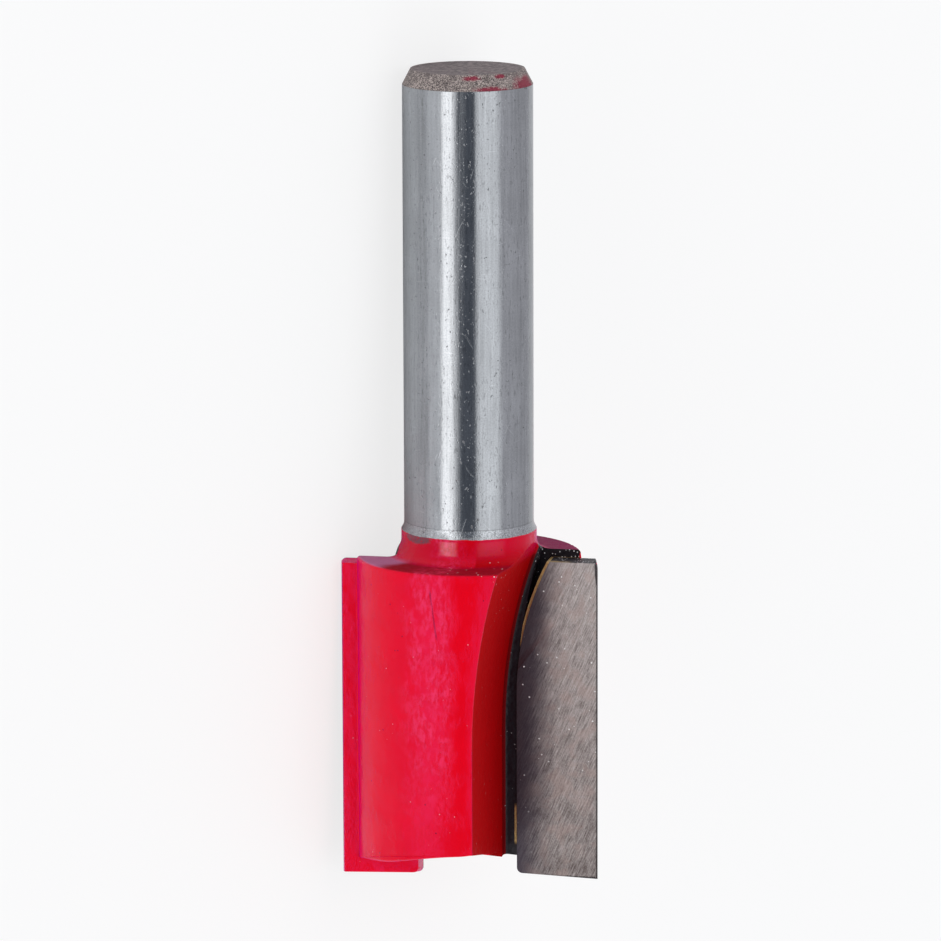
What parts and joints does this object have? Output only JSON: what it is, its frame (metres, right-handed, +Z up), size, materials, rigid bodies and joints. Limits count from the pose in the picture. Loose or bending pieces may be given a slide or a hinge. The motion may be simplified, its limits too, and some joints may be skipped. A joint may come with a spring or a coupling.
{
  "type": "router bit",
  "caption": "Straight router bit with a round shank, a fluted steel body in red enamel and brazed carbide tips, for cutting grooves and edges in wood.",
  "frame": {"origin": "on the surface the bit lies on, under the middle of the spindle's length", "axes": "the cutting end is toward +X and the shank's end toward -X; the spindle runs in the XZ plane and drops 4.1 degrees from level toward the shank's end; +Z is up"},
  "size_m": [0.0512, 0.0138, 0.0137],
  "materials": {
    "body_steel": "turned and milled steel; the cutter body and neck are in glossy red enamel, the shank is bare ground steel",
    "carbide": "ground tungsten carbide, brown-grey, with slanting grinding marks",
    "braze": "thin silver-brass braze, partly dark with flux"
  },
  "bodies": {
    "root": {"body": "body_steel", "carbide_tip_1": "carbide", "carbide_tip_2": "carbide", "braze_seam_1": "braze", "braze_seam_2": "braze"}
  },
  "joints": []
}
